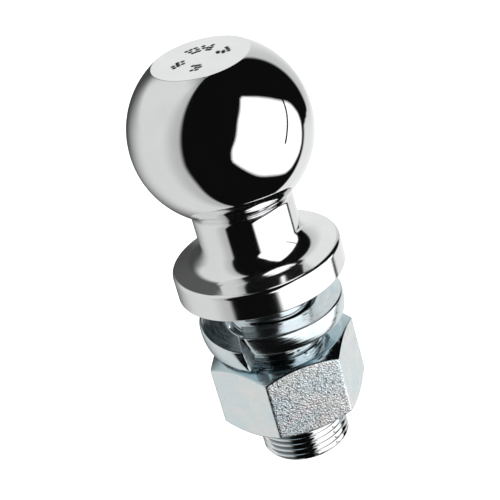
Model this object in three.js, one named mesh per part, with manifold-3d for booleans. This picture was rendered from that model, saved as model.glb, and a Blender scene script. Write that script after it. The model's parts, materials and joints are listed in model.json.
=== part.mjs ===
// A trailer hitch ball: a one-piece ball stud, a split lock washer and a hex nut.
// Millimetres, +Z up. The origin is the centre of the shank's end face and the ball is at the top.
import * as THREE from "three";
import { mergeVertices } from "three/addons/utils/BufferGeometryUtils.js";
import Module from "manifold-3d";

const INCH = 25.4;
const DEGREE = Math.PI / 180;

// Ball stud: heights are measured up from the shank's end face.
const BALL_RADIUS = 1 * INCH;
const BALL_CENTRE_Z = 102;
const BALL_FLAT_RADIUS = 13.7;
const NECK_RADIUS = 14.4;
const NECK_TOP_FILLET = 3.5;
const NECK_FILLET_TOP_Z = 70;
const FLANGE_RADIUS = 24.05;
const FLANGE_UNDERSIDE_Z = 55.8;
const FLANGE_RIM_HEIGHT = (5 / 16) * INCH;
const FLANGE_TOP_ROUNDING = 1.2;
const FLANGE_BOTTOM_CHAMFER = 0.4;
const FLANGE_SLOPE = 8 * DEGREE;
const SHANK_RADIUS = 0.5 * INCH;
const SHANK_ROOT_FILLET = 0.8;
const SHANK_END_RADIUS = 11.5;

// Thread: 1 inch, 14 turns to the inch, right hand, with 60 degree flanks.
const PITCH = INCH / 14;
const THREAD_TOP_Z = 44.5;
const THREAD_CREST_FLAT = PITCH / 4;
const THREAD_DEPTH = (PITCH - THREAD_CREST_FLAT) / 2 / Math.tan(30 * DEGREE);
const THREAD_STEPS = 24;
const THREAD_UNDERSIZE = 0.05;
const THREAD_CLEARANCE = 0.3;

// Lock washer: a bar bent round the shank. Beside the split its low end is sprung down and its high end
// curls up.
const WASHER_INNER_RADIUS = 13.6;
const WASHER_OUTER_RADIUS = 21;
const WASHER_THICKNESS = 0.25 * INCH;
const WASHER_TOP_Z = 47;
const WASHER_SPRING = 4;
const WASHER_BEND_ANGLE = 120;
const WASHER_CURL = 1.1;
const WASHER_CURL_ANGLE = 65;
const WASHER_EDGE = 0.7;
const WASHER_LOW_END_X = -10.9;
const WASHER_HIGH_END_X = -9.6;
const WASHER_LOW_SLANT_OUTER = 0.6;
const WASHER_LOW_SLANT_INNER = 3;
const WASHER_HIGH_SLANT = 2;
const WASHER_STEPS = 60;

// Nut: 1 1/2 inches across its flats.
const NUT_ACROSS_FLATS = 1.5 * INCH;
const NUT_THICKNESS = (55 / 64) * INCH;
const NUT_BOTTOM_Z = 13;
const NUT_FACE_RADIUS = 0.475 * NUT_ACROSS_FLATS;
const NUT_CHAMFER = 30 * DEGREE;
const NUT_FIRST_CORNER = 10 * DEGREE;
const NUT_COUNTERSINK_RADIUS = 13.4;

const LATHE_STEPS = 44;

const CHROME = new THREE.MeshStandardMaterial({ color: 0xdcdee0, roughness: 0.06, metalness: 1 });
const ZINC_WASHER = new THREE.MeshStandardMaterial({ color: 0xaab4bc, roughness: 0.28, metalness: 1 });
const ZINC_NUT = new THREE.MeshStandardMaterial({ color: 0xc3c8c9, roughness: 0.42, metalness: 1 });

const wasm = await Module();
wasm.setup();

// A manifold-3d solid with the shape of a closed three.js geometry.
function solidOf(geometry) {
  const bare = new THREE.BufferGeometry();
  bare.setAttribute("position", geometry.getAttribute("position").clone());
  bare.setIndex(geometry.getIndex());
  const merged = mergeVertices(bare, 1e-4);
  const vertProperties = merged.getAttribute("position").array;
  const triVerts = new Uint32Array(merged.getIndex().array);
  return new wasm.Manifold(new wasm.Mesh({ numProp: 3, vertProperties, triVerts }));
}

// A three.js geometry with the shape of a manifold-3d solid.
function geometryOf(solid) {
  const mesh = solid.getMesh();
  const geometry = new THREE.BufferGeometry();
  geometry.setAttribute("position", new THREE.BufferAttribute(mesh.vertProperties, 3));
  geometry.setIndex(new THREE.BufferAttribute(mesh.triVerts, 1));
  geometry.computeVertexNormals();
  return geometry;
}

function indexedGeometry(positions, triangles) {
  const geometry = new THREE.BufferGeometry();
  geometry.setAttribute("position", new THREE.Float32BufferAttribute(positions.flat(), 3));
  geometry.setIndex(triangles.flat());
  return geometry;
}

// A solid turned about Z from a profile of [radius, height] points that run upwards, axis to axis.
function turned(profile, steps = LATHE_STEPS) {
  const points = profile.map(([radius, z]) => new THREE.Vector2(radius, z));
  return solidOf(new THREE.LatheGeometry(points, steps).rotateX(90 * DEGREE));
}

// Points of [radius, height] on an arc, both ends included.
function arc(centreRadius, centreZ, radius, from, to, steps) {
  return Array.from({ length: steps + 1 }, (_, i) => {
    const angle = from + ((to - from) * i) / steps;
    return [centreRadius + radius * Math.cos(angle), centreZ + radius * Math.sin(angle)];
  });
}

// The flange's top slopes up to a fillet that is tangent to the neck.
function flangeTop() {
  const rimTopZ = FLANGE_UNDERSIDE_Z + FLANGE_RIM_HEIGHT;
  const slopeStart = FLANGE_RADIUS - FLANGE_TOP_ROUNDING;
  const rise = NECK_FILLET_TOP_Z - rimTopZ - (slopeStart - NECK_RADIUS) * Math.tan(FLANGE_SLOPE);
  const perRadius = Math.cos(FLANGE_SLOPE) - (1 - Math.sin(FLANGE_SLOPE)) * Math.tan(FLANGE_SLOPE);
  const fillet = rise / perRadius;
  return [
    ...arc(slopeStart, rimTopZ - FLANGE_TOP_ROUNDING, FLANGE_TOP_ROUNDING, 0, 90 * DEGREE, 4),
    ...arc(NECK_RADIUS + fillet, NECK_FILLET_TOP_Z, fillet, 270 * DEGREE - FLANGE_SLOPE, 180 * DEGREE, 7),
  ];
}

// The neck runs into the ball through a fillet, and the ball ends in a flat on top.
function neckAndBall() {
  const filletCentre = NECK_RADIUS + NECK_TOP_FILLET;
  const drop = Math.sqrt((BALL_RADIUS + NECK_TOP_FILLET) ** 2 - filletCentre ** 2);
  const contact = Math.atan2(drop, filletCentre);
  const flatAngle = Math.acos(BALL_FLAT_RADIUS / BALL_RADIUS);
  return [
    ...arc(filletCentre, BALL_CENTRE_Z - drop, NECK_TOP_FILLET, 180 * DEGREE, 180 * DEGREE - contact, 4),
    ...arc(0, BALL_CENTRE_Z, BALL_RADIUS, -contact, flatAngle, 18).slice(1),
    [0, BALL_CENTRE_Z + BALL_RADIUS * Math.sin(flatAngle)],
  ];
}

// Ball, neck, flange and the plain stretch of the shank.
function plainStud() {
  const filletZ = FLANGE_UNDERSIDE_Z - SHANK_ROOT_FILLET;
  return turned([
    [0, THREAD_TOP_Z],
    [SHANK_RADIUS, THREAD_TOP_Z],
    ...arc(SHANK_RADIUS + SHANK_ROOT_FILLET, filletZ, SHANK_ROOT_FILLET, 180 * DEGREE, 90 * DEGREE, 3),
    [FLANGE_RADIUS - FLANGE_BOTTOM_CHAMFER, FLANGE_UNDERSIDE_Z],
    [FLANGE_RADIUS, FLANGE_UNDERSIDE_Z + FLANGE_BOTTOM_CHAMFER],
    ...flangeTop(),
    ...neckAndBall(),
  ]);
}

// A rod with a right-hand helical thread, closed at each end by a fan of triangles from the axis.
function threadedRod(crestRadius, bottomZ, topZ) {
  const rootRadius = crestRadius - THREAD_DEPTH;
  const flank = (PITCH - THREAD_CREST_FLAT) / 2;
  const profile = [
    [rootRadius, 0],
    [crestRadius, flank],
    [crestRadius, flank + THREAD_CREST_FLAT],
  ];
  // Turns are counted from height 0, so that a rod and the nut cut by another rod are in mesh.
  const firstTurn = Math.floor(bottomZ / PITCH);
  const turns = Math.ceil(topZ / PITCH) - firstTurn;
  const sections = turns * THREAD_STEPS;
  const size = profile.length;
  const positions = [];
  // One turn more than the sections: its first profile points close the last turn's grooves.
  for (let n = 0; n <= sections + THREAD_STEPS; n++) {
    const angle = (n / THREAD_STEPS) * 360 * DEGREE;
    const rise = (firstTurn + n / THREAD_STEPS) * PITCH;
    for (const [radius, z] of profile) {
      positions.push([radius * Math.cos(angle), radius * Math.sin(angle), rise + z]);
    }
  }
  const at = (n, j) => (j < size ? n * size + j : (n + THREAD_STEPS) * size);
  const bottomCentre = positions.push([0, 0, firstTurn * PITCH]) - 1;
  const topCentre = positions.push([0, 0, (firstTurn + turns + 1) * PITCH]) - 1;
  const triangles = [];
  for (let n = 0; n < sections; n++) {
    for (let j = 0; j < size; j++) {
      triangles.push([at(n, j), at(n + 1, j), at(n + 1, j + 1)]);
      triangles.push([at(n, j), at(n + 1, j + 1), at(n, j + 1)]);
    }
  }
  for (let n = 0; n < THREAD_STEPS; n++) {
    triangles.push([bottomCentre, at(n + 1, 0), at(n, 0)]);
    triangles.push([topCentre, at(sections + n, 0), at(sections + n + 1, 0)]);
  }
  for (let j = 0; j < size; j++) {
    triangles.push([bottomCentre, at(0, j), at(0, j + 1)]);
    triangles.push([topCentre, at(sections, j + 1), at(sections, j)]);
  }
  return solidOf(indexedGeometry(positions, triangles));
}

function ballStud() {
  const chamfer = SHANK_RADIUS - SHANK_END_RADIUS;
  const shankOutline = turned([
    [0, 0],
    [SHANK_END_RADIUS, 0],
    [SHANK_RADIUS + chamfer, 2 * chamfer],
    [SHANK_RADIUS + chamfer, THREAD_TOP_Z + PITCH],
    [0, THREAD_TOP_Z + PITCH],
  ]);
  const rod = threadedRod(SHANK_RADIUS - THREAD_UNDERSIZE, -PITCH, THREAD_TOP_Z + PITCH);
  return geometryOf(rod.intersect(shankOutline).add(plainStud()));
}

// The washer's height above its low end, by the angles in degrees from its low and its high end.
function washerRise(fromLow, fromHigh) {
  const spring = WASHER_SPRING * Math.sin(90 * DEGREE * Math.min(1, fromLow / WASHER_BEND_ANGLE));
  const curled = 180 * DEGREE * Math.min(1, fromHigh / WASHER_CURL_ANGLE);
  return spring + (WASHER_CURL / 2) * (1 + Math.cos(curled));
}

// The washer's section, anticlockwise, as [radius, depth below its top], with its edges broken.
function washerSection() {
  const inner = WASHER_INNER_RADIUS;
  const outer = WASHER_OUTER_RADIUS;
  const bottom = -WASHER_THICKNESS;
  return [
    [inner, -WASHER_EDGE],
    [inner, bottom + WASHER_EDGE],
    [inner + WASHER_EDGE, bottom],
    [outer - WASHER_EDGE, bottom],
    [outer, bottom + WASHER_EDGE],
    [outer, -WASHER_EDGE],
    [outer - WASHER_EDGE, 0],
    [inner + WASHER_EDGE, 0],
  ];
}

// How far to the right the bottom of the low end's cut lies of its top. The cut is twisted.
function lowSlant(radius) {
  const inward = (WASHER_OUTER_RADIUS - radius) / (WASHER_OUTER_RADIUS - WASHER_INNER_RADIUS);
  return WASHER_LOW_SLANT_OUTER + (WASHER_LOW_SLANT_INNER - WASHER_LOW_SLANT_OUTER) * inward;
}

// The bar goes once round the shank, clockwise from above as it rises. The tops of its cuts are
// parallel to Y and their bottoms lie further right, so each edge of the bar has angles of its own.
function lockWasher() {
  const section = washerSection();
  const size = section.length;
  const lowEnd = Math.asin(WASHER_LOW_END_X / WASHER_OUTER_RADIUS) / DEGREE;
  const highEnd = Math.asin(WASHER_HIGH_END_X / WASHER_OUTER_RADIUS) / DEGREE - 360;
  const positions = [];
  for (let n = 0; n <= WASHER_STEPS; n++) {
    for (const [radius, depth] of section) {
      const down = -depth / WASHER_THICKNESS;
      const from = Math.asin((WASHER_LOW_END_X + lowSlant(radius) * down) / radius) / DEGREE;
      const to = Math.asin((WASHER_HIGH_END_X + WASHER_HIGH_SLANT * down) / radius) / DEGREE - 360;
      const angle = from + ((to - from) * n) / WASHER_STEPS;
      positions.push([
        radius * Math.sin(angle * DEGREE),
        -radius * Math.cos(angle * DEGREE),
        WASHER_TOP_Z - WASHER_SPRING + depth + washerRise(lowEnd - angle, angle - highEnd),
      ]);
    }
  }
  const at = (n, j) => n * size + (j % size);
  const triangles = [];
  for (let n = 0; n < WASHER_STEPS; n++) {
    for (let j = 0; j < size; j++) {
      triangles.push([at(n, j), at(n, j + 1), at(n + 1, j + 1)]);
      triangles.push([at(n, j), at(n + 1, j + 1), at(n + 1, j)]);
    }
  }
  for (let j = 1; j < size - 1; j++) {
    triangles.push([at(0, 0), at(0, j + 1), at(0, j)]);
    triangles.push([at(WASHER_STEPS, 0), at(WASHER_STEPS, j), at(WASHER_STEPS, j + 1)]);
  }
  return geometryOf(solidOf(indexedGeometry(positions, triangles)));
}

// A hexagonal prism with the nut's corners.
function hexPrism() {
  const corner = NUT_ACROSS_FLATS / 2 / Math.cos(30 * DEGREE);
  const outline = new THREE.Shape();
  for (let i = 0; i < 6; i++) {
    const angle = NUT_FIRST_CORNER + i * 60 * DEGREE;
    const point = [corner * Math.cos(angle), corner * Math.sin(angle)];
    if (i === 0) outline.moveTo(...point);
    else outline.lineTo(...point);
  }
  const prism = new THREE.ExtrudeGeometry(outline, { depth: NUT_THICKNESS, bevelEnabled: false });
  return solidOf(prism.translate(0, 0, NUT_BOTTOM_Z));
}

// The cones that chamfer the hexagon's corners at both ends.
function nutOutline() {
  const topZ = NUT_BOTTOM_Z + NUT_THICKNESS;
  const reach = NUT_ACROSS_FLATS - NUT_FACE_RADIUS;
  const drop = reach * Math.tan(NUT_CHAMFER);
  return turned([
    [0, NUT_BOTTOM_Z],
    [NUT_FACE_RADIUS, NUT_BOTTOM_Z],
    [NUT_FACE_RADIUS + reach, NUT_BOTTOM_Z + drop],
    [NUT_FACE_RADIUS + reach, topZ - drop],
    [NUT_FACE_RADIUS, topZ],
    [0, topZ],
  ], 72);
}

// The countersinks that lead a thread into the nut's bore from both ends.
function countersinks() {
  const topZ = NUT_BOTTOM_Z + NUT_THICKNESS;
  const beyond = 1;
  const wide = NUT_COUNTERSINK_RADIUS + beyond;
  return turned([
    [0, NUT_BOTTOM_Z - beyond],
    [wide, NUT_BOTTOM_Z - beyond],
    [wide - 3 * beyond, NUT_BOTTOM_Z + 2 * beyond],
    [wide - 3 * beyond, topZ - 2 * beyond],
    [wide, topZ + beyond],
    [0, topZ + beyond],
  ]);
}

function hexNut() {
  const topZ = NUT_BOTTOM_Z + NUT_THICKNESS;
  const tapRadius = SHANK_RADIUS - THREAD_UNDERSIZE + THREAD_CLEARANCE;
  const tap = threadedRod(tapRadius, NUT_BOTTOM_Z - 2 * PITCH, topZ + PITCH);
  return geometryOf(hexPrism().intersect(nutOutline()).subtract(countersinks()).subtract(tap));
}

function named(name, geometry, material) {
  const mesh = new THREE.Mesh(geometry, material);
  mesh.name = name;
  return mesh;
}

const hitchBall = new THREE.Group();
hitchBall.add(named("ball_stud", ballStud(), CHROME));
hitchBall.add(named("lock_washer", lockWasher(), ZINC_WASHER));
hitchBall.add(named("hex_nut", hexNut(), ZINC_NUT));

export default hitchBall;
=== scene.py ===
"""A trailer hitch ball in Blender: a chromed ball stud, a split lock washer and a zinc-plated hex nut.

Metres, +Z up, in the CAD part's frame: the shank's end face is centred on the origin.
"""

import json
import math

import bpy
from mathutils import Matrix, Vector


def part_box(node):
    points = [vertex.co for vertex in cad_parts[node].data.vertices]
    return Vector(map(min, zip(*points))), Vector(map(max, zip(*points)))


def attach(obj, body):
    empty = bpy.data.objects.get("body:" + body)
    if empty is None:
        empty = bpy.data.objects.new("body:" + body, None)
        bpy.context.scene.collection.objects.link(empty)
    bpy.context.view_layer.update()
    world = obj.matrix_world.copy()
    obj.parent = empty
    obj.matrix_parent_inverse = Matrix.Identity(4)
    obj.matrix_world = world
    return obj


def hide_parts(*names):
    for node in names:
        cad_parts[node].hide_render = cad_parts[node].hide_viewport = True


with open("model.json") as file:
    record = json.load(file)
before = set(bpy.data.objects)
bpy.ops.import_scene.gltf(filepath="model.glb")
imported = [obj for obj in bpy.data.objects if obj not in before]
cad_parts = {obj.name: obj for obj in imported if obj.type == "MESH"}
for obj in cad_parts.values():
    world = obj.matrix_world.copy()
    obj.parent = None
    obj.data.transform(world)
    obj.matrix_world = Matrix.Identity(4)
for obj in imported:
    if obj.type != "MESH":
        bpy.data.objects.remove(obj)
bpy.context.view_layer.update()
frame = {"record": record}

MM = 0.001
INCH = 25.4 * MM
FULL_TURN = 2 * math.pi

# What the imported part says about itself.
STUD_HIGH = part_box("ball_stud")[1]
WASHER_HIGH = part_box("lock_washer")[1]
NUT_LOW, NUT_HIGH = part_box("hex_nut")

# Ball stud. Heights are measured up from the shank's end face.
BALL_RADIUS = 1 * INCH
BALL_FLAT_RADIUS = 13.7 * MM
BALL_CENTRE_Z = STUD_HIGH.z - math.sqrt(BALL_RADIUS**2 - BALL_FLAT_RADIUS**2)
BALL_FLAT_ROUNDING = 0.35 * MM
NECK_RADIUS = 14.4 * MM
NECK_TOP_FILLET = 3.5 * MM
NECK_FILLET_TOP_Z = 70 * MM
FLANGE_RADIUS = 24.05 * MM
FLANGE_UNDERSIDE_Z = 55.8 * MM
FLANGE_RIM_HEIGHT = 5 / 16 * INCH
FLANGE_TOP_ROUNDING = 1.2 * MM
FLANGE_BOTTOM_ROUNDING = 0.4 * MM
FLANGE_SLOPE = math.radians(8)
SHANK_RADIUS = 0.5 * INCH
SHANK_ROOT_FILLET = 0.8 * MM
SHANK_END_RADIUS = 11.5 * MM

# Round punch marks on the ball's flat. Angles are in degrees, counted from +X.
PUNCH_GROUPS = (0, 62, 98, 180, 250)
PUNCH_RADII = (4.9 * MM, 6.3 * MM, 7.7 * MM)
PUNCH_STEP = 10
PUNCH_SIZE = 0.72 * MM
PUNCH_DEPTH = 0.4 * MM

# Thread: 1 inch, 14 turns to the inch, right hand.
PITCH = INCH / 14
THREAD_TOP_Z = 44.5 * MM
THREAD_FADE_START_Z = THREAD_TOP_Z - 1.6 * PITCH
THREAD_FADE_END_Z = THREAD_TOP_Z - 0.1 * PITCH
THREAD_CREST_FLAT = PITCH / 5
THREAD_DEPTH = 1.15 * MM
THREAD_UNDERSIZE = 0.05 * MM
THREAD_CLEARANCE = 0.3 * MM

# Heights of a thread's rows within one turn, as shares of the pitch. They are close at its corners.
THREAD_ROWS = (0, 0.05, 0.1, 0.17, 0.25, 0.33, 0.38, 0.42, 0.46)
THREAD_ROWS += (0.54, 0.58, 0.62, 0.67, 0.75, 0.83, 0.9, 0.95)

# Lock washer.
WASHER_INNER_RADIUS = 13.6 * MM
WASHER_OUTER_RADIUS = 21 * MM
WASHER_THICKNESS = 0.25 * INCH
WASHER_SPRING = 4 * MM
WASHER_BEND_ANGLE = math.radians(120)
WASHER_CURL = 1.1 * MM
WASHER_CURL_ANGLE = math.radians(65)
WASHER_EDGE = 0.7 * MM
WASHER_BAR_LENGTH = FULL_TURN * (WASHER_INNER_RADIUS + WASHER_OUTER_RADIUS) / 2
WASHER_SHEAR_LENGTH = 3.2 * MM
WASHER_SHEAR_DEPTH = 0.6 * MM
WASHER_SHEAR_TAPER = 0.5
WASHER_END_ROUNDING = 0.25 * MM
WASHER_WALL_LEAN = (math.radians(5), math.radians(16))
WASHER_LOW_END_X = -10.9 * MM
WASHER_HIGH_END_X = -9.6 * MM
WASHER_LOW_SLANT_OUTER = 0.6 * MM
WASHER_LOW_SLANT_INNER = 3 * MM
WASHER_HIGH_SLANT = 2 * MM

# Nut. Half of one of its sides spans HALF_SIDE, seen from the axis.
HALF_SIDE = math.radians(30)
NUT_APOTHEM = 0.75 * INCH
NUT_FACE_RADIUS = 0.95 * NUT_APOTHEM
NUT_CHAMFER = math.radians(30)
NUT_FIRST_CORNER = math.radians(10)
NUT_CORNER_ROUNDING = 0.9 * MM
NUT_EDGE_ROUNDING = 0.4 * MM
NUT_COUNTERSINK_RADIUS = 13.4 * MM

# Camera: it looks at the ball from in front and above, and leans to the left.
CAMERA_DISTANCE = 502.3 * MM
CAMERA_ELEVATION = math.radians(23.49)
CAMERA_AIM_BELOW = math.radians(3.81)
CAMERA_AIM_LEFT = math.radians(0.14)
CAMERA_ROLL = math.radians(-15.87)
CAMERA_LENS = 134.14

# Studio, as reflections see it. Its directions are in degrees: azimuth 0 is the front, 90 the right.
# The left wall is reckoned up to BLACK_MIDDLE, and the right wall past it. Between them is black cloth.
STUDIO_CENTRE = Vector((0, 0, BALL_CENTRE_Z))
STUDIO_TINT = (0.985, 1, 0.985)
DOME_RADIUS = 1.3
BLACK_CLOTH = 0.004
BLACK_MIDDLE = 30
LEFT_WALL_STRENGTH = 0.72
RIGHT_WALL_STRENGTH = 0.6
RIGHT_WALL_LIMIT = 0.9
SOFTBOX_STRENGTH = 1.35
SOFTBOX_DISTANCE = 1.2
SOFTBOX_FEATHER = math.radians(4)
CABLE_DISTANCE = 0.9
CABLE_HALF_WIDTH = math.radians(1.3)
FLOOR_HALF_SIZE = 6

# Colours of the plated metals. A pair is what patches of noise vary between.
CHROME_COLOURS = ((0.88, 0.885, 0.895), (0.92, 0.92, 0.925))
# Painted shade: the dark colour of a patch on the left of the flange's underside.
SHADED_CHROME = (0.2, 0.22, 0.23)
PUNCH_SHADOW = (0.05, 0.05, 0.05)
WASHER_COLOURS = ((0.68, 0.8, 0.84), (0.82, 0.86, 0.89))
NUT_COLOURS = ((0.8, 0.9, 0.95), (0.9, 0.93, 0.93))
NUT_PINK = (0.97, 0.92, 0.92)
NUT_PIT = (0.12, 0.13, 0.14)
# Painted shade: the darker colour of the nut's turned faces and their chamfers.
NUT_TURNED_SHADE = (0.54, 0.66, 0.71)

# Rings of noise are as long as they say on a circle of this radius.
RING_MIDDLE_RADIUS = 18 * MM

# How finely the pieces are meshed. A flat stretch is held flat from this margin inside its ends.
SHADING_MARGIN = 0.06 * MM
STUD_COLUMNS = 240
NUT_COLUMNS_PER_SIDE = 26
WASHER_STEPS = 260


# ---------------------------------------------------------------- meshes


def held(points, closed=False):
    """Adds a point close to each end of every long straight stretch, so that it is shaded as flat."""
    long = 0.8 * MM
    result = []
    for i, start in enumerate(points):
        result.append(start)
        if i + 1 == len(points) and not closed:
            break
        end = points[(i + 1) % len(points)]
        length = math.dist(start, end)
        if length > long:
            result.append(tuple(between(start, end, SHADING_MARGIN / length)))
            result.append(tuple(between(end, start, SHADING_MARGIN / length)))
    return result


def between(a, b, share):
    """The point at a share of the way from a to b."""
    return [p + (q - p) * share for p, q in zip(a, b)]


def arc(centre_radius, centre_z, radius, start, end, steps):
    """Points of (radius, height) on an arc, both ends included. Angles are in degrees."""
    points = []
    for i in range(steps + 1):
        angle = math.radians(start + (end - start) * i / steps)
        points.append((centre_radius + radius * math.cos(angle), centre_z + radius * math.sin(angle)))
    return points


class Mesh:
    """Vertices and faces that are collected, then made into a Blender object."""

    def __init__(self):
        self.vertices = []
        self.faces = []

    def vertex(self, x, y, z):
        self.vertices.append((x, y, z))
        return len(self.vertices) - 1

    def ring(self, angles, radii, heights):
        """A closed ring: one vertex for each angle."""
        return [
            self.vertex(r * math.cos(a), r * math.sin(a), z) for a, r, z in zip(angles, radii, heights)
        ]

    def face(self, *corners):
        """A face, left out where its corners have run together."""
        kept = [c for i, c in enumerate(corners) if c != corners[i - 1]]
        if len(set(kept)) > 2:
            self.faces.append(kept)

    def skin(self, below, above):
        """Joins two rings with a band of faces."""
        for i in range(len(below)):
            j = (i + 1) % len(below)
            self.face(below[i], below[j], above[j], above[i])

    def fan(self, ring, centre):
        """Closes a ring with triangles that meet in the middle."""
        for i in range(len(ring)):
            self.face(ring[i], ring[(i + 1) % len(ring)], centre)

    def made(self, name, sharp_degrees=32):
        """The finished object, smooth but for its edges sharper than that."""
        data = bpy.data.meshes.new(name)
        data.from_pydata(self.vertices, [], self.faces)
        data.validate()
        data.shade_smooth()
        data.set_sharp_from_angle(angle=math.radians(sharp_degrees))
        made = bpy.data.objects.new(name, data)
        bpy.context.scene.collection.objects.link(made)
        return made


def thread_cut(angle, z):
    """How deep the thread cuts at a place, from 0 on the crest to 1 in the root. Corners are eased."""
    phase = (z / PITCH - angle / FULL_TURN) % 1
    across = abs(phase - 0.5) * PITCH - THREAD_CREST_FLAT / 2
    share = across / (PITCH / 2 - THREAD_CREST_FLAT / 2)
    if share <= 0:
        return 0.0
    ease = 0.12
    if share < ease:
        return share * share / (2 * ease) / (1 - ease)
    if share > 1 - ease:
        return 1 - (1 - share) ** 2 / (2 * ease) / (1 - ease)
    return (share - ease / 2) / (1 - ease)


def helical_band(mesh, angles, low, high, radius_at, bottom, top):
    """A threaded wall between two rings. Its rows climb one pitch a turn, and stop at the rings."""
    rows_per_turn = len(THREAD_ROWS)
    first = math.floor(low.z / PITCH) - 2
    last = math.ceil(high.z / PITCH) + 1
    heights = [(turn + row) * PITCH for turn in range(first, last) for row in THREAD_ROWS]
    columns = []
    for k, angle in enumerate(angles):
        column = []
        for height in heights:
            z = height + PITCH * angle / FULL_TURN
            if z <= low.z:
                column.append(bottom[k])
            elif z >= high.z:
                column.append(top[k])
            else:
                r = radius_at(angle, z)
                column.append(mesh.vertex(r * math.cos(angle), r * math.sin(angle), z))
        columns.append(column)
    # Going once round, a row meets the row one turn above it.
    columns.append(columns[0][rows_per_turn:] + [top[0]] * rows_per_turn)
    for left, right in zip(columns, columns[1:]):
        for j in range(len(heights) - 1):
            mesh.face(left[j], right[j], right[j + 1], left[j + 1])


def smooth_step(low, high, value):
    """0 before low and 1 past high, with an eased rise between them. low may be the larger."""
    share = min(1, max(0, (value - low) / (high - low)))
    return share * share * (3 - 2 * share)


def shank_radius(angle, z):
    """The threaded shank: its thread runs out at the top and is chamfered away at the end."""
    fade = 1 - smooth_step(THREAD_FADE_START_Z, THREAD_FADE_END_Z, z)
    threaded = SHANK_RADIUS - fade * (THREAD_UNDERSIZE + THREAD_DEPTH * thread_cut(angle, z))
    return min(threaded, SHANK_END_RADIUS + z)


def flange_top():
    """The flange's rim and its top, which slopes up to a fillet that is tangent to the neck."""
    rim_top = FLANGE_UNDERSIDE_Z + FLANGE_RIM_HEIGHT
    slope_start = FLANGE_RADIUS - FLANGE_TOP_ROUNDING
    rise = NECK_FILLET_TOP_Z - rim_top - (slope_start - NECK_RADIUS) * math.tan(FLANGE_SLOPE)
    per_radius = math.cos(FLANGE_SLOPE) - (1 - math.sin(FLANGE_SLOPE)) * math.tan(FLANGE_SLOPE)
    fillet = rise / per_radius
    rim = arc(slope_start, rim_top - FLANGE_TOP_ROUNDING, FLANGE_TOP_ROUNDING, 0, 90, steps=10)
    slope_degrees = math.degrees(FLANGE_SLOPE)
    curve = arc(NECK_RADIUS + fillet, NECK_FILLET_TOP_Z, fillet, 270 - slope_degrees, 180, steps=24)
    return rim + curve


def neck_and_ball():
    """The neck runs into the ball through a fillet, and the ball ends at its flat's soft edge."""
    fillet_radius = NECK_RADIUS + NECK_TOP_FILLET
    drop = math.sqrt((BALL_RADIUS + NECK_TOP_FILLET) ** 2 - fillet_radius**2)
    contact = math.degrees(math.atan2(drop, fillet_radius))
    neck = arc(fillet_radius, BALL_CENTRE_Z - drop, NECK_TOP_FILLET, 180, 180 - contact, steps=14)
    edge = BALL_FLAT_ROUNDING
    flat_z = STUD_HIGH.z - BALL_CENTRE_Z
    turn = math.degrees(math.asin((flat_z - edge) / (BALL_RADIUS - edge)))
    ball = arc(0, BALL_CENTRE_Z, BALL_RADIUS, -contact, turn, steps=110)[1:]
    inner = (BALL_RADIUS - edge) * math.cos(math.radians(turn))
    flat_edge = arc(inner, STUD_HIGH.z - edge, edge, turn, 90, steps=6)[1:]
    return neck + ball + flat_edge


def punch_marks():
    """Centres of the round punch marks on the ball's flat: five small groups, and no lettering."""
    marks = []
    for group, middle in enumerate(PUNCH_GROUPS):
        for column in range(3):
            for row, radius in enumerate(PUNCH_RADII):
                # A few places are left empty, so that no two groups are the same.
                if (group + 2 * column + row) % 5 == 0:
                    continue
                slant = 0.3 * row
                angle = math.radians(middle + PUNCH_STEP * (column - 1 + slant))
                marks.append((radius * math.cos(angle), radius * math.sin(angle)))
    return marks


def punch_depth(radius, angle, marks):
    """How deep the flat is punched at a place. Each mark is a round dent with a soft edge."""
    place = (radius * math.cos(angle), radius * math.sin(angle))
    nearest = min(math.dist(place, mark) for mark in marks)
    share = max(0, 1 - (nearest / PUNCH_SIZE) ** 2)
    return PUNCH_DEPTH * share * share


def flat_radii(edge_radius):
    """Ring radii across the ball's flat, from its edge inwards. They are close where it is punched."""
    outer = PUNCH_RADII[-1] + PUNCH_SIZE
    inner = PUNCH_RADII[0] - PUNCH_SIZE
    coarse, fine, middle = 4, 56, 6
    radii = [edge_radius - SHADING_MARGIN]
    radii += [edge_radius + (outer - edge_radius) * i / coarse for i in range(1, coarse)]
    radii += [outer + (inner - outer) * i / fine for i in range(fine + 1)]
    radii += [inner * (1 - i / middle) for i in range(1, middle)]
    return radii


def ball_stud():
    mesh = Mesh()
    angles = [FULL_TURN * k / STUD_COLUMNS for k in range(STUD_COLUMNS)]

    def level_ring(radius, z):
        return mesh.ring(angles, [radius] * STUD_COLUMNS, [z] * STUD_COLUMNS)

    end = level_ring(SHANK_END_RADIUS, 0)
    mesh.fan(end[::-1], mesh.vertex(0, 0, 0))
    thread_top = level_ring(SHANK_RADIUS, THREAD_TOP_Z)
    helical_band(
        mesh, angles, Vector((0, 0, 0)), Vector((0, 0, THREAD_TOP_Z)), shank_radius, end, thread_top
    )
    fillet_z = FLANGE_UNDERSIDE_Z - SHANK_ROOT_FILLET
    rounding = FLANGE_BOTTOM_ROUNDING
    underside = arc(FLANGE_RADIUS - rounding, FLANGE_UNDERSIDE_Z + rounding, rounding, -90, 0, steps=5)
    profile = (
        arc(SHANK_RADIUS + SHANK_ROOT_FILLET, fillet_z, SHANK_ROOT_FILLET, 180, 90, steps=6)
        + underside
        + flange_top()
        + neck_and_ball()
    )
    previous = thread_top
    for radius, z in held([(SHANK_RADIUS, THREAD_TOP_Z)] + profile)[1:]:
        current = level_ring(radius, z)
        mesh.skin(previous, current)
        previous = current
    marks = punch_marks()
    for radius in flat_radii(profile[-1][0]):
        heights = [STUD_HIGH.z - punch_depth(radius, angle, marks) for angle in angles]
        current = mesh.ring(angles, [radius] * STUD_COLUMNS, heights)
        mesh.skin(previous, current)
        previous = current
    mesh.fan(previous, mesh.vertex(0, 0, STUD_HIGH.z))
    return mesh.made("hitch_ball_stud")


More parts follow.
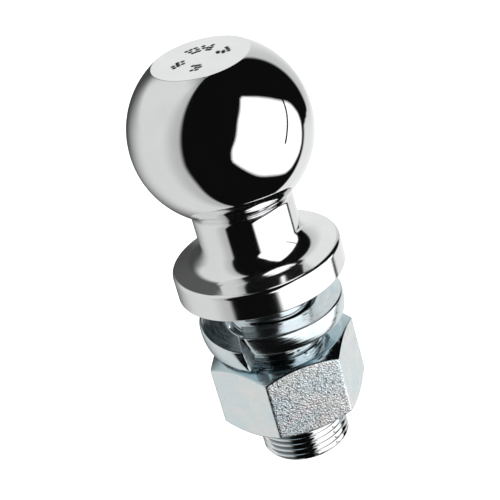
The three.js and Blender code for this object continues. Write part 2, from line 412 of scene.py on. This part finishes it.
def washer_section():
    """The bar's section, anticlockwise, as (radius, depth below its top).

    Its edges are rounded. Its outer wall bulges a little, and leans in towards its foot.
    """
    edge = WASHER_EDGE
    bottom = -WASHER_THICKNESS
    inner = WASHER_INNER_RADIUS + edge
    wall_height = WASHER_THICKNESS - 2 * edge
    lean_top, lean_foot = WASHER_WALL_LEAN
    wall_radius = wall_height / (math.sin(lean_top) + math.sin(lean_foot))
    wall_centre = WASHER_OUTER_RADIUS - wall_radius
    centre_depth = -edge - wall_radius * math.sin(lean_top)
    top_degrees, foot_degrees = math.degrees(lean_top), math.degrees(lean_foot)
    wall = arc(wall_centre, centre_depth, wall_radius, -foot_degrees, top_degrees, steps=16)
    foot_x = wall[0][0] - edge * math.cos(lean_foot)
    foot_z = wall[0][1] + edge * math.sin(lean_foot)
    head_x = wall[-1][0] - edge * math.cos(lean_top)
    head_z = wall[-1][1] - edge * math.sin(lean_top)
    foot = arc(foot_x, foot_z, edge, 270, 360 - foot_degrees, steps=6)[:-1]
    head = arc(head_x, head_z, edge, top_degrees, 90, steps=6)[1:]
    return (
        arc(inner, -edge, edge, 90, 180, steps=6)
        + arc(inner, bottom + edge, edge, 180, 270, steps=6)
        + foot
        + wall
        + head
    )


def washer_rise(from_low, from_high):
    """The washer's height above its low end, by the angles from its low and its high end."""
    spring = WASHER_SPRING * math.sin(math.pi / 2 * min(1, from_low / WASHER_BEND_ANGLE))
    curled = math.pi * min(1, from_high / WASHER_CURL_ANGLE)
    return spring + WASHER_CURL / 2 * (1 + math.cos(curled))


def low_slant(radius):
    """How far to the right the bottom of the low end's cut lies of its top. The cut is twisted."""
    inward = (WASHER_OUTER_RADIUS - radius) / (WASHER_OUTER_RADIUS - WASHER_INNER_RADIUS)
    return WASHER_LOW_SLANT_OUTER + (WASHER_LOW_SLANT_INNER - WASHER_LOW_SLANT_OUTER) * inward


def washer_loop(mesh, section, share, inset=0.0):
    """The bar's section at a share of its length. An inset draws the outline in, for the ends."""
    centre_radius = (WASHER_INNER_RADIUS + WASHER_OUTER_RADIUS) / 2
    centre_depth = -WASHER_THICKNESS / 2
    low_end = math.asin(WASHER_LOW_END_X / WASHER_OUTER_RADIUS)
    high_end = math.asin(WASHER_HIGH_END_X / WASHER_OUTER_RADIUS) - FULL_TURN
    low_z = WASHER_HIGH.z - WASHER_CURL - WASHER_SPRING
    loop = []
    for radius, depth in section:
        sheared = 1 - share * WASHER_BAR_LENGTH / (WASHER_SHEAR_LENGTH + WASHER_SHEAR_TAPER * depth)
        outwards = (radius - centre_radius) / (WASHER_OUTER_RADIUS - centre_radius)
        radius -= WASHER_SHEAR_DEPTH * max(0, sheared) * max(0, outwards)
        radius += (centre_radius - radius) * inset / (WASHER_THICKNESS / 2)
        depth += (centre_depth - depth) * inset / (WASHER_THICKNESS / 2)
        down = -depth / WASHER_THICKNESS
        start = math.asin((WASHER_LOW_END_X + low_slant(radius) * down) / radius)
        end = math.asin((WASHER_HIGH_END_X + WASHER_HIGH_SLANT * down) / radius) - FULL_TURN
        angle = start + (end - start) * share
        z = low_z + depth + washer_rise(low_end - angle, angle - high_end)
        loop.append(mesh.vertex(radius * math.sin(angle), -radius * math.cos(angle), z))
    return loop


def lock_washer():
    mesh = Mesh()
    section = washer_section()
    rounding_share = WASHER_END_ROUNDING / WASHER_BAR_LENGTH
    eased = 0.3
    low_end = [(0, WASHER_END_ROUNDING), (rounding_share * eased, WASHER_END_ROUNDING * eased)]
    straight = 1 - 2 * rounding_share
    bar = [(rounding_share + straight * i / WASHER_STEPS, 0) for i in range(WASHER_STEPS + 1)]
    high_end = [(1 - share, inset) for share, inset in reversed(low_end)]
    stations = low_end + bar + high_end
    loops = [washer_loop(mesh, held(section, closed=True), share, inset) for share, inset in stations]
    for near, far in zip(loops, loops[1:]):
        mesh.skin(near, far)
    mesh.faces.append(loops[0][::-1])
    mesh.faces.append(loops[-1])
    return mesh.made("split_lock_washer", sharp_degrees=40)


def nut_outline(angle):
    """The rounded hexagon's radius in a direction."""
    from_corner = abs((angle - NUT_FIRST_CORNER + HALF_SIDE) % (2 * HALF_SIDE) - HALF_SIDE)
    from_middle = HALF_SIDE - from_corner
    centre = (NUT_APOTHEM - NUT_CORNER_ROUNDING) / math.cos(HALF_SIDE)
    flat_end = math.atan(centre * math.sin(HALF_SIDE) / NUT_APOTHEM)
    if from_middle <= flat_end:
        return NUT_APOTHEM / math.cos(from_middle)
    reach = centre * math.sin(from_corner)
    return centre * math.cos(from_corner) + math.sqrt(NUT_CORNER_ROUNDING**2 - reach**2)


def nut_angles():
    """Directions round the nut, close together at the corners."""
    angles = []
    for side in range(6):
        middle = NUT_FIRST_CORNER + (2 * side + 1) * HALF_SIDE
        for i in range(NUT_COLUMNS_PER_SIDE):
            share = -1 + 2 * i / NUT_COLUMNS_PER_SIDE
            angles.append(middle + HALF_SIDE * math.sin(math.pi / 2 * share))
    return angles


def bore_radius(angle, z):
    """The nut's threaded bore, countersunk at both ends."""
    crest = SHANK_RADIUS - THREAD_UNDERSIZE + THREAD_CLEARANCE
    threaded = crest - THREAD_DEPTH * thread_cut(angle, z)
    from_end = min(z - NUT_LOW.z, NUT_HIGH.z - z)
    return max(threaded, NUT_COUNTERSINK_RADIUS - from_end)


def nut_side(outline, end_z, face_radius, direction):
    """Half of the nut's outside at one direction, from its side to its face, as (radius, height).

    direction is 1 for the top half and -1 for the bottom half.
    """
    edge = NUT_EDGE_ROUNDING
    inwards = edge * math.cos(NUT_CHAMFER)
    endwards = direction * edge * math.sin(NUT_CHAMFER)
    drop = (outline - face_radius) * math.tan(NUT_CHAMFER)
    corner = (outline, end_z - direction * drop)
    before = (outline, corner[1] - direction * edge)
    after = (outline - inwards, corner[1] + endwards)
    face = (face_radius, end_z)
    face_before = (face_radius + inwards, end_z - endwards)
    face_after = (face_radius - edge, end_z)

    def eased(a, b, c, share):
        return between(between(a, b, share), between(b, c, share), share)

    shares = (0, 0.33, 0.67, 1)
    corner_points = [tuple(eased(before, corner, after, share)) for share in shares]
    face_points = [tuple(eased(face_before, face, face_after, share)) for share in shares]
    low_side = (outline, before[1] - direction * SHADING_MARGIN)
    inner_face = (face_radius - edge - SHADING_MARGIN, end_z)
    return [low_side] + held(corner_points + face_points) + [inner_face]


def hex_nut():
    mesh = Mesh()
    angles = nut_angles()
    outline = [nut_outline(a) for a in angles]
    halves = {}
    for direction, end_z in ((-1, NUT_LOW.z), (1, NUT_HIGH.z)):
        sides = [nut_side(r, end_z, NUT_FACE_RADIUS, direction) for r in outline]
        rows = list(zip(*sides))
        halves[direction] = [mesh.ring(angles, *zip(*row)) for row in rows]
    count = len(angles)
    bottom = mesh.ring(angles, [NUT_COUNTERSINK_RADIUS] * count, [NUT_LOW.z] * count)
    top = mesh.ring(angles, [NUT_COUNTERSINK_RADIUS] * count, [NUT_HIGH.z] * count)
    rings = [bottom] + halves[-1][::-1] + halves[1] + [top]
    for below, above in zip(rings, rings[1:]):
        mesh.skin(below, above)
    faces_before = len(mesh.faces)
    helical_band(mesh, angles, NUT_LOW, NUT_HIGH, bore_radius, bottom, top)
    # The bore's wall faces the axis.
    mesh.faces[faces_before:] = [face[::-1] for face in mesh.faces[faces_before:]]
    return mesh.made("heavy_hex_nut", sharp_degrees=45)


# ---------------------------------------------------------------- materials


class Material:
    """A node material that is built up from its Principled shader."""

    def __init__(self, name, colour, roughness):
        self.material = bpy.data.materials.new(name)
        self.material.use_nodes = True
        self.tree = self.material.node_tree
        self.shader = self.tree.nodes["Principled BSDF"]
        self.shader.inputs["Base Color"].default_value = (*colour, 1)
        self.shader.inputs["Metallic"].default_value = 1
        self.shader.inputs["Roughness"].default_value = roughness
        surface = self.node("ShaderNodeTexCoord")
        self.place = surface.outputs["Object"]
        self.normal = surface.outputs["Normal"]

    def node(self, kind, **settings):
        """A new node with those settings."""
        made = self.tree.nodes.new(kind)
        for key, value in settings.items():
            setattr(made, key, value)
        return made

    def link(self, output, target):
        self.tree.links.new(output, target)

    def noise(self, size, detail=3, roughness=0.5, stretch=(1, 1, 1), distortion=0.0):
        """Noise with features of about that size, in metres. stretch lengthens them along an axis."""
        mapping = self.node("ShaderNodeMapping")
        mapping.inputs["Scale"].default_value = [1 / size / s for s in stretch]
        self.link(self.place, mapping.inputs["Vector"])
        noise = self.node("ShaderNodeTexNoise")
        noise.inputs["Scale"].default_value = 1
        noise.inputs["Detail"].default_value = detail
        noise.inputs["Roughness"].default_value = roughness
        noise.inputs["Distortion"].default_value = distortion
        self.link(mapping.outputs["Vector"], noise.inputs["Vector"])
        return noise.outputs["Fac"]

    def across_rings(self, across, along, detail=2, roughness=0.5):
        """Noise in rings round the axis: across is how wide its features are, along how long."""
        x, y, z = self.coordinates(self.place)
        radius = self.from_axis("LENGTH")
        turns = RING_MIDDLE_RADIUS / along
        vector = self.node("ShaderNodeCombineXYZ")
        self.link(self.math("MULTIPLY", self.math("DIVIDE", x, radius), turns), vector.inputs[0])
        self.link(self.math("MULTIPLY", self.math("DIVIDE", y, radius), turns), vector.inputs[1])
        self.link(self.math("DIVIDE", radius, across), vector.inputs[2])
        noise = self.node("ShaderNodeTexNoise", noise_dimensions="4D")
        noise.inputs["Scale"].default_value = 1
        noise.inputs["Detail"].default_value = detail
        noise.inputs["Roughness"].default_value = roughness
        self.link(vector.outputs[0], noise.inputs["Vector"])
        self.link(self.math("DIVIDE", z, across), noise.inputs["W"])
        return noise.outputs["Fac"]

    def coordinates(self, vector):
        """The X, Y and Z of a vector."""
        parts = self.node("ShaderNodeSeparateXYZ")
        self.link(vector, parts.inputs[0])
        return parts.outputs

    def height(self):
        """The height above the shank's end face."""
        return self.coordinates(self.place)[2]

    def upwards(self):
        """How much the surface faces up: 1 on a top, 0 on a side and -1 on an underside."""
        return self.coordinates(self.normal)[2]

    def from_axis(self, operation):
        """What a vector operation makes of the level vector from the axis to the surface."""
        level = self.node("ShaderNodeVectorMath", operation="MULTIPLY")
        level.inputs[1].default_value = (1, 1, 0)
        self.link(self.place, level.inputs[0])
        made = self.node("ShaderNodeVectorMath", operation=operation)
        self.link(level.outputs[0], made.inputs[0])
        return made.outputs["Value" if operation == "LENGTH" else "Vector"]

    def swirl(self):
        """How much the surface faces round the axis: 1 or -1 on a cut across the washer's bar."""
        crossed = self.node("ShaderNodeVectorMath", operation="CROSS_PRODUCT")
        self.link(self.from_axis("NORMALIZE"), crossed.inputs[0])
        self.link(self.normal, crossed.inputs[1])
        return self.coordinates(crossed.outputs[0])[2]

    def within(self, limit):
        """1 within a radius of the axis, and 0 outside it."""
        return self.math("LESS_THAN", self.from_axis("LENGTH"), limit)

    def dull_painted_shade_patch(self):
        """1 on a patch with a ragged edge on the left of the flange's underside, where shade is painted
        on and the plate is also dull.
        """
        facing_down = self.math("LESS_THAN", self.upwards(), -0.5)
        under_flange = self.math("LESS_THAN", self.height(), FLANGE_UNDERSIDE_Z + MM)
        ragged = self.math("MULTIPLY", self.noise(7 * MM, detail=4), 8 * MM)
        leftward = self.math("SUBTRACT", ragged, self.coordinates(self.place)[0])
        patch = self.ranged(leftward, (0, 1), source=(3 * MM, 6 * MM))
        return self.math("MULTIPLY", patch, self.math("MULTIPLY", facing_down, under_flange))

    def facing_front(self):
        """1 on a side that faces the front, and 0 where it is turned away by 45 degrees or more."""
        turned_away, facing = -0.71, -0.95
        return self.ranged(self.coordinates(self.normal)[1], (0, 1), source=(turned_away, facing))

    def dented(self, top):
        """1 inside a punch mark in a flat top at that height, and 0 on the flat and far below it."""
        depth = self.math("SUBTRACT", top, self.height())
        shallow = self.ranged(depth, (0, 1), source=(0.02 * MM, 0.12 * MM))
        return self.math("MULTIPLY", shallow, self.math("LESS_THAN", depth, 2 * PUNCH_DEPTH))

    def ranged(self, value, target, source=(0.35, 0.65)):
        """A value carried from the source range to the target, and held at its ends.

        The source range left unsaid is the one that most noise lies in.
        """
        made = self.node("ShaderNodeMapRange")
        made.inputs["From Min"].default_value = source[0]
        made.inputs["From Max"].default_value = source[1]
        made.inputs["To Min"].default_value = target[0]
        made.inputs["To Max"].default_value = target[1]
        self.link(value, made.inputs["Value"])
        return made.outputs["Result"]

    def mixed(self, factor, first, second):
        """A colour between two, each a colour or a socket."""
        mix = self.node("ShaderNodeMix", data_type="RGBA")
        self.link(factor, mix.inputs["Factor"])
        for value, target in ((first, mix.inputs["A"]), (second, mix.inputs["B"])):
            if isinstance(value, tuple):
                target.default_value = (*value, 1)
            else:
                self.link(value, target)
        return mix.outputs["Result"]

    def math(self, operation, a, b=0):
        """A calculation on one or two values, each a number or a socket."""
        made = self.node("ShaderNodeMath", operation=operation)
        for value, target in zip((a, b), made.inputs):
            if isinstance(value, (int, float)):
                target.default_value = value
            else:
                self.link(value, target)
        return made.outputs[0]

    def bump(self, height, depth, strength=1.0, below=None):
        """A bump whose height of 1 stands for depth metres. It can lie on another bump."""
        made = self.node("ShaderNodeBump")
        made.inputs["Strength"].default_value = strength
        made.inputs["Distance"].default_value = depth
        self.link(height, made.inputs["Height"])
        if below is not None:
            self.link(below, made.inputs["Normal"])
        return made.outputs["Normal"]

    def set(self, name, socket):
        """Feeds one of the shader's inputs."""
        self.link(socket, self.shader.inputs[name])


def chrome():
    """Mirror-bright plate: polished on the ball, with faint marks of the lathe on neck and flange."""
    m = Material("chrome_plate", (0.9, 0.905, 0.91), 0.03)
    clean = m.mixed(m.ranged(m.noise(9 * MM, detail=4), (0, 1)), *CHROME_COLOURS)
    in_marks = m.math("MULTIPLY", m.within(PUNCH_RADII[-1] + PUNCH_SIZE), m.dented(STUD_HIGH.z))
    # Painted shade: a dark patch on the left of the flange's underside, which is also made rougher.
    patch = m.dull_painted_shade_patch()
    plated = m.mixed(patch, clean, SHADED_CHROME)
    m.set("Base Color", m.mixed(in_marks, plated, PUNCH_SHADOW))
    rim_top = FLANGE_UNDERSIDE_Z + FLANGE_RIM_HEIGHT
    below_ball = m.ranged(m.height(), (1, 0), source=(rim_top, NECK_FILLET_TOP_Z + 12 * MM))
    above_thread = m.ranged(m.height(), (0.3, 1), source=(48 * MM, FLANGE_UNDERSIDE_Z))
    turned = m.math("MULTIPLY", below_ball, above_thread)
    patches = m.ranged(m.noise(5 * MM, detail=6, roughness=0.65), (0.02, 0.05))
    roughness = m.math("ADD", patches, m.math("MULTIPLY", turned, 0.07))
    m.set("Roughness", m.math("ADD", roughness, m.math("MULTIPLY", patch, 0.15)))
    ripple = m.bump(m.noise(11 * MM, detail=1), 0.03 * MM, strength=0.35)
    scratched = m.noise(0.25 * MM, detail=2, stretch=(1, 1, 14))
    scratches = m.bump(scratched, 0.002 * MM, strength=0.25, below=ripple)
    grooves = m.math("MULTIPLY", m.across_rings(0.2 * MM, 40 * MM), turned)
    m.set("Normal", m.bump(grooves, 0.006 * MM, strength=0.5, below=scratches))
    return m.material


def zinc_washer():
    """Bright zinc on a drawn bar, with a blue cast and fine streaks along it. Its cut ends are dull."""
    m = Material("zinc_washer", (0.8, 0.83, 0.86), 0.2)
    tint = m.ranged(m.noise(6 * MM, detail=3), (0, 1))
    m.set("Base Color", m.mixed(tint, *WASHER_COLOURS))
    streaks = m.across_rings(0.5 * MM, 14 * MM, detail=4, roughness=0.6)
    cut = m.math("GREATER_THAN", m.math("ABSOLUTE", m.swirl()), 0.7)
    drawn = m.ranged(streaks, (0.1, 0.26))
    m.set("Roughness", m.math("ADD", drawn, m.math("MULTIPLY", cut, 0.3)))
    waves = m.bump(m.across_rings(1.8 * MM, 16 * MM, detail=2), 0.25 * MM, strength=0.5)
    fine = m.bump(streaks, 0.04 * MM, strength=0.5, below=waves)
    m.set("Normal", m.bump(m.noise(0.6 * MM, detail=3), 0.03 * MM, strength=0.4, below=fine))
    return m.material


def zinc_nut():
    """Satin zinc: grainy sides with faint tints, pitted in front, and smoother turned faces that are
    painted darker as shade.
    """
    m = Material("zinc_nut", (0.88, 0.9, 0.9), 0.3)
    turned = m.ranged(m.math("ABSOLUTE", m.upwards()), (0, 1), source=(0.2, 0.6))
    rough = m.math("SUBTRACT", 1, turned)
    cool = m.mixed(m.ranged(m.noise(8 * MM, detail=2), (0, 1)), *NUT_COLOURS)
    pink = m.ranged(m.noise(13 * MM, detail=2, distortion=1.5), (0, 0.7), source=(0.5, 0.7))
    sides = m.mixed(pink, cool, NUT_PINK)
    specks = m.noise(0.32 * MM, detail=1, roughness=0.5)
    dark = m.ranged(specks, (0.95, 0), source=(0.4, 0.46))
    pits = m.math("MULTIPLY", dark, m.facing_front())
    # Painted shade: the turned faces and their chamfers are given a darker colour.
    m.set("Base Color", m.mixed(turned, m.mixed(pits, sides, NUT_PIT), NUT_TURNED_SHADE))
    grainy = m.ranged(m.noise(0.8 * MM, detail=5, roughness=0.7), (0.1, 0.2))
    m.set("Roughness", m.math("SUBTRACT", grainy, m.math("MULTIPLY", turned, 0.06)))
    grain = m.noise(0.38 * MM, detail=2, roughness=0.5)
    coarse = m.bump(m.math("MULTIPLY", grain, rough), 0.14 * MM)
    rings = m.math("MULTIPLY", m.across_rings(0.4 * MM, 20 * MM), turned)
    lathe = m.bump(rings, 0.03 * MM, strength=0.6, below=coarse)
    m.set("Normal", m.bump(m.noise(3.5 * MM, detail=2), 0.1 * MM, strength=0.4, below=lathe))
    return m.material


def finish_piece(piece, node, body, material):
    """Gives a piece its material, hangs it on the empty of the body it rides on, and hides the CAD node
    that it stands in for.
    """
    piece.data.materials.append(material)
    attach(piece, body)
    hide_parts(node)


# ---------------------------------------------------------------- camera, floor and light


def make_camera():
    """The camera looks down at the ball, aims a little below it and is rolled to the left."""
    data = bpy.data.cameras.new("camera")
    data.lens = CAMERA_LENS
    data.sensor_width = 36
    data.clip_start = 0.01
    data.clip_end = 50
    camera = bpy.data.objects.new("camera", data)
    bpy.context.scene.collection.objects.link(camera)
    back = Vector((0, -math.cos(CAMERA_ELEVATION), math.sin(CAMERA_ELEVATION)))
    up = Vector((0, math.sin(CAMERA_ELEVATION), math.cos(CAMERA_ELEVATION)))
    facing = Matrix((Vector((1, 0, 0)), up, back)).transposed()
    turned = (
        facing
        @ Matrix.Rotation(CAMERA_AIM_LEFT, 3, "Y")
        @ Matrix.Rotation(-CAMERA_AIM_BELOW, 3, "X")
        @ Matrix.Rotation(CAMERA_ROLL, 3, "Z")
    )
    place = Vector((0, 0, BALL_CENTRE_Z)) + back * CAMERA_DISTANCE
    camera.matrix_world = Matrix.Translation(place) @ turned.to_4x4()
    bpy.context.scene.camera = camera


def direction(azimuth, elevation):
    """A direction from the ball: azimuth 0 is the front, 90 the right, in degrees."""
    a, e = math.radians(azimuth), math.radians(elevation)
    return Vector((math.cos(e) * math.sin(a), -math.cos(e) * math.cos(a), math.sin(e)))


def add_object(name, vertices, faces):
    """A mesh object made from lists of points and faces."""
    data = bpy.data.meshes.new(name)
    data.from_pydata(vertices, [], faces)
    made = bpy.data.objects.new(name, data)
    bpy.context.scene.collection.objects.link(made)
    return made


def reflected_only(thing, brightness, see_through):
    """Makes a thing that shines by the brightness at each vertex, and that only reflections see."""
    light = thing.data.color_attributes.new("light", "FLOAT_COLOR", "POINT")
    for entry, colour in zip(light.data, brightness):
        entry.color = (*colour, 1)
    material = bpy.data.materials.new(thing.name)
    material.use_nodes = True
    tree = material.node_tree
    tree.nodes.clear()
    attribute = tree.nodes.new("ShaderNodeAttribute")
    attribute.attribute_name = "light"
    emission = tree.nodes.new("ShaderNodeEmission")
    tree.links.new(attribute.outputs["Color"], emission.inputs["Color"])
    output = tree.nodes.new("ShaderNodeOutputMaterial")
    shone = emission.outputs[0]
    if see_through:
        clear = tree.nodes.new("ShaderNodeBsdfTransparent")
        both = tree.nodes.new("ShaderNodeAddShader")
        tree.links.new(shone, both.inputs[0])
        tree.links.new(clear.outputs[0], both.inputs[1])
        shone = both.outputs[0]
    tree.links.new(shone, output.inputs["Surface"])
    thing.data.materials.append(material)
    thing.visible_camera = False
    thing.visible_diffuse = False
    thing.visible_shadow = False


def below_ceiling(elevation):
    """Both walls fade out overhead."""
    return 1 - 0.85 * smooth_step(66, 100, elevation)


def left_wall(azimuth, elevation):
    """A pale wall on the left. It dims gently before its front edge, and goes dark behind the object.

    High up, the darkness starts further back. Low down, it reaches further and is deeper.
    """
    front_edge = -54 + 4 * smooth_step(-10, -40, elevation)
    front = 1 - 0.3 * smooth_step(-82, -56, azimuth)
    front *= 1 - smooth_step(front_edge - 3, front_edge + 4, azimuth)
    high = smooth_step(0, 25, elevation)
    back_start = -108 - 27 * high
    back_end = -162 - 18 * smooth_step(-15, -30, elevation) + 5 * high
    fall = 0.92 + 0.06 * smooth_step(-32, -42, elevation) - 0.05 * smooth_step(12, 30, elevation)
    back = 1 - fall * smooth_step(back_start, back_end, azimuth)
    return LEFT_WALL_STRENGTH * front * back * below_ceiling(elevation)


def right_wall(azimuth, elevation):
    """A paler wall behind the object and to its right. Below, it reaches further forward."""
    front_edge = 134 - 19 * smooth_step(-17, -23, elevation)
    start = smooth_step(front_edge - 3, front_edge + 3, azimuth)
    brightness = RIGHT_WALL_STRENGTH + 0.25 * smooth_step(138, 172, azimuth)
    brightness += 0.25 * smooth_step(-12, -30, elevation)
    return start * min(RIGHT_WALL_LIMIT, brightness) * below_ceiling(elevation)


def studio_brightness(azimuth, elevation):
    """Brightness of the studio in a direction. The front and the right are hung with black cloth.

    The two walls meet behind the object: a little to the left, or low down a little to the right.
    """
    past_back = azimuth - 180
    if azimuth > 180:
        azimuth -= 360
    on_left = azimuth <= BLACK_MIDDLE
    if on_left and azimuth > -90:
        leftness = 1
    else:
        meeting = 5 - 13 * smooth_step(-32, -40, elevation)
        leftness = smooth_step(meeting - 2, meeting + 2, past_back)
    left = left_wall(azimuth if on_left else -180, elevation)
    right = right_wall(180 if on_left else azimuth, elevation)
    return BLACK_CLOTH + leftness * left + (1 - leftness) * right


def studio_dome():
    """The walls and the cloth all round, painted on the inside of a globe."""
    columns, rows = 288, 120
    vertices, faces, brightness = [], [], []
    for row in range(rows + 1):
        elevation = -90 + 180 * row / rows
        for k in range(columns):
            azimuth = 360 * k / columns
            vertices.append(STUDIO_CENTRE + DOME_RADIUS * direction(azimuth, elevation))
            light = studio_brightness(azimuth, elevation)
            brightness.append([light * tint for tint in STUDIO_TINT])
    for row in range(rows):
        low, high = row * columns, (row + 1) * columns
        for k in range(columns):
            following = (k + 1) % columns
            faces.append((low + k, low + following, high + following, high + k))
    reflected_only(add_object("studio_dome", vertices, faces), brightness, see_through=False)


def eased_corners(corners):
    """Cuts each corner of a closed outline a little, so that no side meets the next at a point."""
    share = 0.18
    result = []
    for i, corner in enumerate(corners):
        before, after = corners[i - 1], corners[(i + 1) % len(corners)]
        result += [corner.slerp(before, share), corner.slerp(after, share)]
    return result


def feathered_card(name, outline, distance, strength, feather):
    """A glowing card, its outline given in directions. It fades out across a soft edge."""
    outer = eased_corners([direction(azimuth, elevation) for azimuth, elevation in outline])
    middle = sum(outer, Vector()).normalized()
    inner = []
    for corner in outer:
        inner.append(corner.slerp(middle, feather / corner.angle(middle)))
    vertices = [STUDIO_CENTRE + distance * d for d in outer + inner + [middle]]
    count = len(outer)
    faces = []
    for i in range(count):
        j = (i + 1) % count
        faces.append((i, j, count + j, count + i))
        faces.append((count + i, count + j, 2 * count))
    brightness = [(0, 0, 0)] * count + [(strength,) * 3] * (count + 1)
    reflected_only(add_object(name, vertices, faces), brightness, see_through=True)


def softbox():
    """A big window of light with a peaked top, and a lower edge that rounds off to the left."""
    outline = [(50, 48), (35, 37), (23, 26), (13, 8), (4, -4), (1, -17)]
    outline += [(9, -28), (21, -40), (34, -48), (60, -53), (99, -52), (110, -36), (110, -14)]
    outline += [(102, 2), (89, 14), (76, 28), (62, 40)]
    feathered_card("softbox", outline, SOFTBOX_DISTANCE, SOFTBOX_STRENGTH, SOFTBOX_FEATHER)


def hanging_cable():
    """A thin dark cable that hangs in front of the softbox's right side."""
    route = ((97, 14), (94, 9), (91, 3), (88, -2), (84, -8), (80, -14), (77, -19), (74, -24))
    points = [direction(*place) for place in route]
    vertices = []
    for i, point in enumerate(points):
        along = points[min(i + 1, len(points) - 1)] - points[max(i - 1, 0)]
        side = point.cross(along).normalized() * CABLE_HALF_WIDTH
        vertices += [STUDIO_CENTRE + CABLE_DISTANCE * edge for edge in (point - side, point + side)]
    faces = [(2 * i, 2 * i + 1, 2 * i + 3, 2 * i + 2) for i in range(len(points) - 1)]
    dark = [(BLACK_CLOTH,) * 3] * len(vertices)
    reflected_only(add_object("hanging_cable", vertices, faces), dark, see_through=False)


def make_floor():
    """A pale floor, low enough for the nut to hang above it when it is unscrewed."""
    travel = frame["record"]["behaviour"]["joints"][0]["range_m"]
    z = NUT_LOW.z + travel[0] - MM
    half = FLOOR_HALF_SIZE
    corners = [(-half, -half, z), (half, -half, z), (half, half, z), (-half, half, z)]
    floor = add_object("floor", corners, [(0, 1, 2, 3)])
    material = bpy.data.materials.new("floor")
    material.use_nodes = True
    shader = material.node_tree.nodes["Principled BSDF"]
    shader.inputs["Base Color"].default_value = (0.6, 0.6, 0.6, 1)
    shader.inputs["Roughness"].default_value = 0.9
    shader.inputs["Specular IOR Level"].default_value = 0
    shader.inputs["Emission Color"].default_value = (1, 1, 1, 1)
    shader.inputs["Emission Strength"].default_value = 0.7
    floor.data.materials.append(material)
    floor.visible_glossy = False


def make_light():
    """A pale room all round, and a soft light from above that brightens the floor."""
    world = bpy.data.worlds.new("room")
    world.use_nodes = True
    tree = world.node_tree
    background = tree.nodes["Background"]
    background.inputs["Color"].default_value = (0.78, 0.785, 0.79, 1)
    background.inputs["Strength"].default_value = 1
    bpy.context.scene.world = world
    data = bpy.data.lights.new("overhead", "AREA")
    data.shape = "SQUARE"
    data.size = 3
    data.energy = 35
    lamp = bpy.data.objects.new("overhead", data)
    bpy.context.scene.collection.objects.link(lamp)
    lamp.location = (0, 0, 2.5)
    lamp.visible_glossy = False
    bpy.context.scene.view_settings.view_transform = "Standard"


# ---------------------------------------------------------------- the object

make_camera()
finish_piece(ball_stud(), "ball_stud", "stud", chrome())
finish_piece(lock_washer(), "lock_washer", "washer", zinc_washer())
finish_piece(hex_nut(), "hex_nut", "nut", zinc_nut())
make_floor()
studio_dome()
softbox()
hanging_cable()
make_light()
